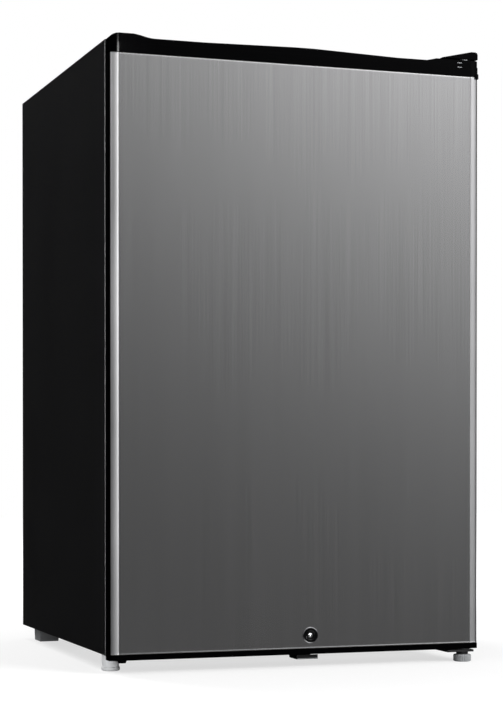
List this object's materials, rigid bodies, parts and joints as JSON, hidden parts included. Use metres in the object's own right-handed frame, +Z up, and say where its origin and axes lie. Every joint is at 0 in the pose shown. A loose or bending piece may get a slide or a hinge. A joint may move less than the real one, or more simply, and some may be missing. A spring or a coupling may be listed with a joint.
{
  "type": "mini fridge",
  "caption": "Compact free-standing refrigerator with a hinged, lockable steel door, a grip along its top edge, a freezer box, glass shelves, a crisper drawer and a rear compressor",
  "frame": {"origin": "centre of the bounding box in X and Y, on the floor under the feet", "axes": "+Z up, +X to the right of a person who faces the door, and the door faces -Y"},
  "size_m": [0.5352, 0.563, 0.8548],
  "materials": {
    "black_paint": "satin black paint",
    "zinc_steel": "zinc-plated sheet steel",
    "black_steel": "black-painted steel",
    "foam": "rigid polyurethane foam",
    "white_liner": "white vacuum-formed polystyrene",
    "brushed_steel": "vertically brushed",
    "black_plastic": "semi-gloss black",
    "gasket_rubber": "matte black",
    "clear_plastic": "clear polystyrene",
    "glass": "toughened, polished",
    "grey_plastic": "moulded",
    "aluminium": "satin",
    "copper": "drawn tube",
    "chrome": "polished",
    "rubber": "matte"
  },
  "bodies": {
    "cabinet": {"outer_shell": "black_paint", "back_panel": "black_paint", "floor_pan": "zinc_steel", "front_crossrail": "black_steel", "foam_insulation": "foam", "inner_liner": "white_liner", "compressor_plate": "black_steel", "foot_rear_left": "grey_plastic", "foot_rear_right": "grey_plastic", "cord_gland": "rubber", "evaporator": "aluminium", "freezer_frame": "grey_plastic", "freezer_hanger_left": "grey_plastic", "freezer_hanger_right": "grey_plastic", "thermostat_housing": "white_liner", "thermostat_switch": "zinc_steel", "compressor": "black_steel", "compressor_mount_1": "rubber", "compressor_mount_2": "rubber", "compressor_mount_3": "rubber", "compressor_mount_4": "rubber", "relay_cover": "black_plastic", "condenser_tube": "black_steel", "condenser_strap_left": "black_steel", "condenser_strap_right": "black_steel", "filter_drier": "copper", "capillary_tube": "copper", "suction_tube": "copper", "discharge_tube": "copper", "process_tube": "copper", "lock_strike": "zinc_steel", "top_hinge_bracket": "black_steel", "top_hinge_cover": "black_plastic", "bottom_hinge_bracket": "black_steel"},
    "door": {"door_panel": "brushed_steel", "door_foam": "foam", "door_liner": "white_liner", "door_gasket": "gasket_rubber", "door_top_cap": "black_plastic", "door_bottom_cap": "black_plastic", "spare_hole_plug": "black_plastic", "top_hinge_bush": "grey_plastic", "bottom_hinge_bush": "grey_plastic", "lock_housing": "chrome"},
    "door_lock": {"lock_core": "chrome", "lock_cam": "zinc_steel"},
    "bottom_door_bin": {"door_bin_bottom": "clear_plastic"},
    "middle_door_bin": {"door_bin_middle": "clear_plastic"},
    "top_door_bin": {"door_bin_top": "clear_plastic"},
    "freezer_door": {"freezer_flap": "white_liner"},
    "tray": {"drip_tray": "clear_plastic"},
    "knob": {"thermostat_knob": "grey_plastic"},
    "upper_shelf": {"shelf_upper_glass": "glass", "shelf_upper_trim": "white_liner"},
    "lower_shelf": {"shelf_lower_glass": "glass", "shelf_lower_trim": "white_liner"},
    "cover_shelf": {"crisper_cover": "glass"},
    "drawer": {"crisper_drawer": "clear_plastic"},
    "left_foot": {"foot_front_left": "grey_plastic"},
    "right_foot": {"foot_front_right": "grey_plastic"}
  },
  "joints": [
    {"name": "door_hinge", "type": "hinge", "parent": "cabinet", "child": "door", "pos_m": [0.248, -0.26895, 0.4], "axis": [0, 0, 1], "range_deg": [0, 120]},
    {"name": "lock_turn", "type": "hinge", "parent": "door", "child": "door_lock", "pos_m": [0.0152, -0.26245, 0.0445], "axis": [0, 1, 0], "range_deg": [0, 90]},
    {"name": "freezer_flap_hinge", "type": "hinge", "parent": "cabinet", "child": "freezer_door", "pos_m": [-0.039, -0.11595, 0.77675], "axis": [-1, 0, 0], "range_deg": [0, 88]},
    {"name": "thermostat_turn", "type": "hinge", "parent": "cabinet", "child": "knob", "pos_m": [0.1877, -0.10795, 0.73475], "axis": [0, -1, 0], "range_deg": [0, 300]},
    {"name": "drip_tray_slide", "type": "slide", "parent": "cabinet", "child": "tray", "axis": [0, -1, 0], "range_m": [0, 0.09]},
    {"name": "upper_shelf_slide", "type": "slide", "parent": "cabinet", "child": "upper_shelf", "axis": [0, -1, 0], "range_m": [0, 0.11]},
    {"name": "lower_shelf_slide", "type": "slide", "parent": "cabinet", "child": "lower_shelf", "axis": [0, -1, 0], "range_m": [0, 0.06]},
    {"name": "crisper_cover_slide", "type": "slide", "parent": "cabinet", "child": "cover_shelf", "axis": [0, -1, 0], "range_m": [0, 0.08]},
    {"name": "crisper_drawer_slide", "type": "slide", "parent": "cabinet", "child": "drawer", "axis": [0, -1, 0], "range_m": [0, 0.022]},
    {"name": "bottom_bin_lift", "type": "slide", "parent": "door", "child": "bottom_door_bin", "axis": [0, 0, 1], "range_m": [0, 0.025]},
    {"name": "middle_bin_lift", "type": "slide", "parent": "door", "child": "middle_door_bin", "axis": [0, 0, 1], "range_m": [0, 0.025]},
    {"name": "top_bin_lift", "type": "slide", "parent": "door", "child": "top_door_bin", "axis": [0, 0, 1], "range_m": [0, 0.025]},
    {"name": "left_foot_screw", "type": "slide", "parent": "cabinet", "child": "left_foot", "axis": [0, 0, 1], "range_m": [-0.012, 0]},
    {"name": "right_foot_screw", "type": "slide", "parent": "cabinet", "child": "right_foot", "axis": [0, 0, 1], "range_m": [-0.006, 0]}
  ]
}
